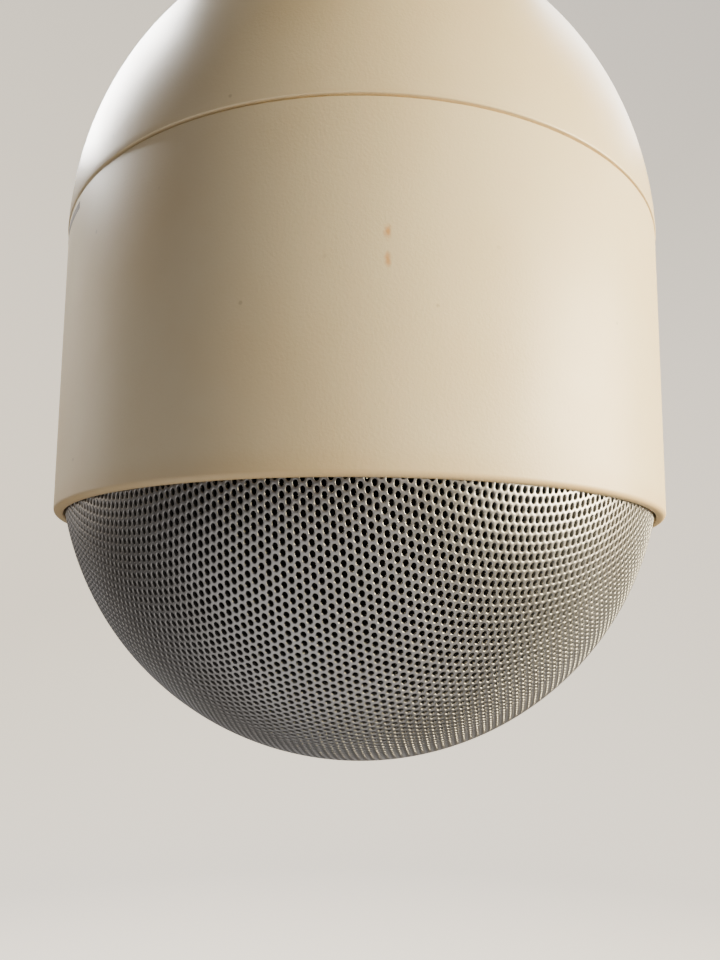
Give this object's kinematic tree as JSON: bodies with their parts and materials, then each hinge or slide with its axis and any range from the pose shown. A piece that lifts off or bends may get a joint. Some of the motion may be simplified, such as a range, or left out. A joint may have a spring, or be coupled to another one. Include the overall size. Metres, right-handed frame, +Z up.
{
  "type": "pendant loudspeaker",
  "caption": "Hanging ceiling loudspeaker with a cream plastic body, a lift-off dome cover and a hemispherical perforated steel grille.",
  "frame": {"origin": "centre of the suspension eye's hole, above the crown", "axes": "+Z up, along the body's axis; the front is -Y; the eye's hole runs along Y; the cable gland is behind the eye, towards +Y"},
  "size_m": [0.2016, 0.2016, 0.306],
  "materials": {
    "body_abs": "aged cream ABS, fine moulded texture, yellowed at the lip and seam",
    "cover_abs": "aged cream ABS, fine moulded texture",
    "hub_abs": "aged cream ABS",
    "grille_steel": "perforated sheet steel, satin grey lacquer",
    "foam": "black open-cell foam",
    "zinc_steel": "zinc plated",
    "screw_steel": "zinc plated, turned",
    "basket_steel": "black paint",
    "lamination_steel": "stacked laminations, varnished",
    "winding_tape": "yellow polyester tape",
    "black_nylon": "moulded nylon",
    "terminal_nylon": "natural nylon",
    "bulkhead_abs": "ABS",
    "baffle_abs": "black ABS",
    "rubber": "matte",
    "ferrite": "sintered ferrite",
    "phenolic": "phenolic board",
    "brass": "turned brass",
    "copper": "enamelled copper wire",
    "tinsel": "braided tinsel",
    "former_foil": "aluminium foil",
    "paper": "pressed paper pulp",
    "spider_cloth": "resin-dipped cotton",
    "wadding": "polyester wadding",
    "capacitor_sleeve": "PVC sleeve",
    "wire_pvc": "PVC insulation"
  },
  "bodies": {
    "housing": {"lower_shell": "body_abs", "top_hub": "hub_abs", "eye_bolt": "zinc_steel", "eye_washers": "zinc_steel", "eye_locknut": "zinc_steel", "suspension_yoke": "zinc_steel", "yoke_screws": "screw_steel", "gland_body": "black_nylon", "gland_seal": "rubber", "gland_cap": "black_nylon", "gland_locknut": "black_nylon", "rear_bulkhead": "bulkhead_abs", "bulkhead_gasket": "rubber", "bulkhead_screws": "screw_steel", "lead_grommet": "rubber", "transformer_core": "lamination_steel", "transformer_bobbin": "black_nylon", "transformer_winding": "winding_tape", "transformer_bracket": "zinc_steel", "transformer_screws": "screw_steel", "terminal_block": "terminal_nylon", "terminal_screws": "brass", "tap_switch_body": "phenolic", "tap_switch_nut": "zinc_steel", "capacitor": "capacitor_sleeve", "capacitor_clamp": "zinc_steel", "clamp_screw": "screw_steel", "speaker_leads": "wire_pvc", "line_wires": "wire_pvc", "grille": "grille_steel", "grille_foam": "foam", "grille_retaining_ring": "zinc_steel", "baffle": "baffle_abs", "baffle_screws": "screw_steel", "driver_gasket": "rubber", "driver_basket": "basket_steel", "driver_screws": "screw_steel", "magnet_top_plate": "zinc_steel", "magnet_ring": "ferrite", "magnet_back_plate": "zinc_steel", "driver_terminal_strip": "phenolic", "tinsel_leads": "tinsel", "surround": "rubber", "spider": "spider_cloth", "damping_wadding": "wadding"},
    "cover": {"dome_cover": "cover_abs"},
    "tap_knob": {"tap_knob": "black_nylon", "tap_switch_shaft": "brass"},
    "cone": {"cone": "paper", "dust_cap": "paper", "voice_coil_former": "former_foil", "voice_coil_winding": "copper"}
  },
  "joints": [
    {"name": "cover_lift", "type": "slide", "parent": "housing", "child": "cover", "axis": [0, 0, 1], "range_m": [0, 0.12]},
    {"name": "tap_turn", "type": "hinge", "parent": "housing", "child": "tap_knob", "pos_m": [0.044, -0.04, -0.12202], "axis": [0, 0, 1], "range_deg": [0, 120]},
    {"name": "cone_travel", "type": "slide", "parent": "housing", "child": "cone", "axis": [0, 0, 1], "range_m": [-0.003, 0.003], "stiffness_N_per_m": 1500, "deforming": ["surround", "spider", "tinsel_leads"]}
  ]
}
